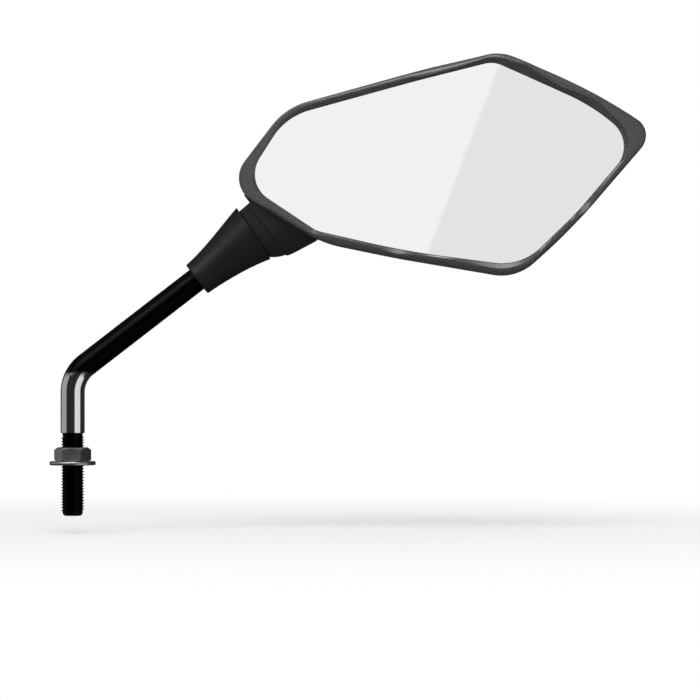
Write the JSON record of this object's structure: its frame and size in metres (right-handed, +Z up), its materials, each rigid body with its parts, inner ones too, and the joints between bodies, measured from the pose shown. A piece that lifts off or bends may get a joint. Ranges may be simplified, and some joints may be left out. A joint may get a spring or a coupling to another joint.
{
  "type": "motorcycle mirror",
  "caption": "Motorcycle mirror: a bent black rod with a threaded stud and lock nut, a ball joint under a tapered boot, and a six-sided moulded head with convex glass.",
  "frame": {"origin": "on the stud's axis, at the seat of the washer, which is where the clamp's face comes", "axes": "+Z up along the stud and the upright of the rod, +X outboard towards the head, the glass faces -Y"},
  "size_m": [0.2577, 0.0391, 0.1993],
  "materials": {
    "black_steel": "satin black paint",
    "ball_steel": "polished",
    "plated_steel": "zinc plated",
    "boot_rubber": "satin",
    "housing_plastic": "moulded satin",
    "plate_plastic": "moulded",
    "seat_plastic": "moulded, natural",
    "pad_foam": "foam",
    "mirror_glass": "silvered behind"
  },
  "bodies": {
    "stem": {"stem": "black_steel", "pivot_ball": "ball_steel", "boot": "boot_rubber"},
    "washer": {"washer": "plated_steel"},
    "lock_nut": {"lock_nut": "plated_steel"},
    "ball_seat": {"ball_seat": "seat_plastic"},
    "pressure_cup": {"pressure_cup": "seat_plastic"},
    "head": {"housing": "housing_plastic", "backing_plate": "plate_plastic", "glass_pad": "pad_foam", "mirror_glass": "mirror_glass", "plate_screw_1": "plated_steel", "plate_screw_2": "plated_steel", "plate_screw_3": "plated_steel", "plate_screw_4": "plated_steel", "spring_seat": "plated_steel", "pressure_spring": "plated_steel", "retainer_plate": "plated_steel", "retainer_screw_1": "plated_steel", "retainer_screw_2": "plated_steel", "retainer_screw_3": "plated_steel"}
  },
  "joints": [
    {"name": "nut_travel", "type": "slide", "parent": "stem", "child": "washer", "axis": [0, 0, 1], "range_m": [0, 0.005]},
    {"name": "nut_spin", "type": "hinge", "parent": "washer", "child": "lock_nut", "pos_m": [0, 0, 0], "axis": [0, 0, 1], "range_deg": [0, 1440]},
    {"name": "head_swivel", "type": "hinge", "parent": "stem", "child": "ball_seat", "pos_m": [0.08704, 0, 0.10627], "axis": [0.7912, 0, 0.6115], "continuous": true},
    {"name": "head_roll", "type": "hinge", "parent": "ball_seat", "child": "pressure_cup", "pos_m": [0.08704, 0, 0.10627], "axis": [0, 1, 0], "range_deg": [-10, 10]},
    {"name": "head_nod", "type": "hinge", "parent": "pressure_cup", "child": "head", "pos_m": [0.08704, 0, 0.10627], "axis": [-0.6115, 0, 0.7912], "range_deg": [-12, 12]}
  ],
  "couplings": [
    {"joint": "nut_travel", "follows": "nut_spin", "m_per_rad": 0.00019894}
  ]
}
